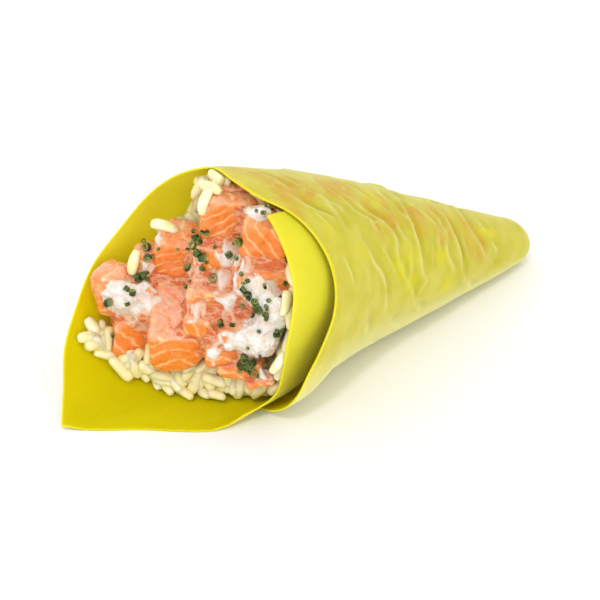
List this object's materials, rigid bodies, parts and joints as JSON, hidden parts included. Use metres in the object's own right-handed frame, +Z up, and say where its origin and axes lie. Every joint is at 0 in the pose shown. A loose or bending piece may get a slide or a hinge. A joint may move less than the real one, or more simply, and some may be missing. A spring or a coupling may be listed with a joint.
{
  "type": "temaki hand roll",
  "caption": "Cone-shaped sushi hand roll lying on its side: a yellow-green soy sheet rolled round rice, with salmon cubes, thick cream and chopped chives heaped in its open mouth",
  "frame": {"origin": "middle of the bounding box in plan, on the surface that the roll lies on", "axes": "+X along the roll to its closed nose, the open mouth faces -X, -Y on the side where the sheet's outer end lies, +Z up"},
  "size_m": [0.1596, 0.0658, 0.063],
  "materials": {
    "sheet": "matt, slightly waxy, translucent yellow-green soy sheet",
    "rice": "moist cooked rice grains",
    "salmon": "wet raw salmon with pale fat lines",
    "cream": "soft glossy cream"
  },
  "bodies": {
    "root": {"wrap": "sheet", "rice": "rice", "cream_01": "cream", "cream_02": "cream", "cream_03": "cream", "salmon_01": "salmon", "salmon_02": "salmon", "salmon_03": "salmon", "salmon_04": "salmon", "salmon_05": "salmon", "salmon_06": "salmon", "salmon_07": "salmon", "salmon_08": "salmon", "salmon_09": "salmon", "salmon_10": "salmon", "salmon_11": "salmon", "salmon_12": "salmon", "salmon_13": "salmon", "salmon_14": "salmon", "salmon_15": "salmon", "salmon_16": "salmon", "salmon_17": "salmon", "salmon_18": "salmon", "salmon_21": "salmon", "salmon_22": "salmon", "salmon_23": "salmon", "salmon_24": "salmon", "salmon_25": "salmon", "salmon_26": "salmon"}
  },
  "joints": []
}
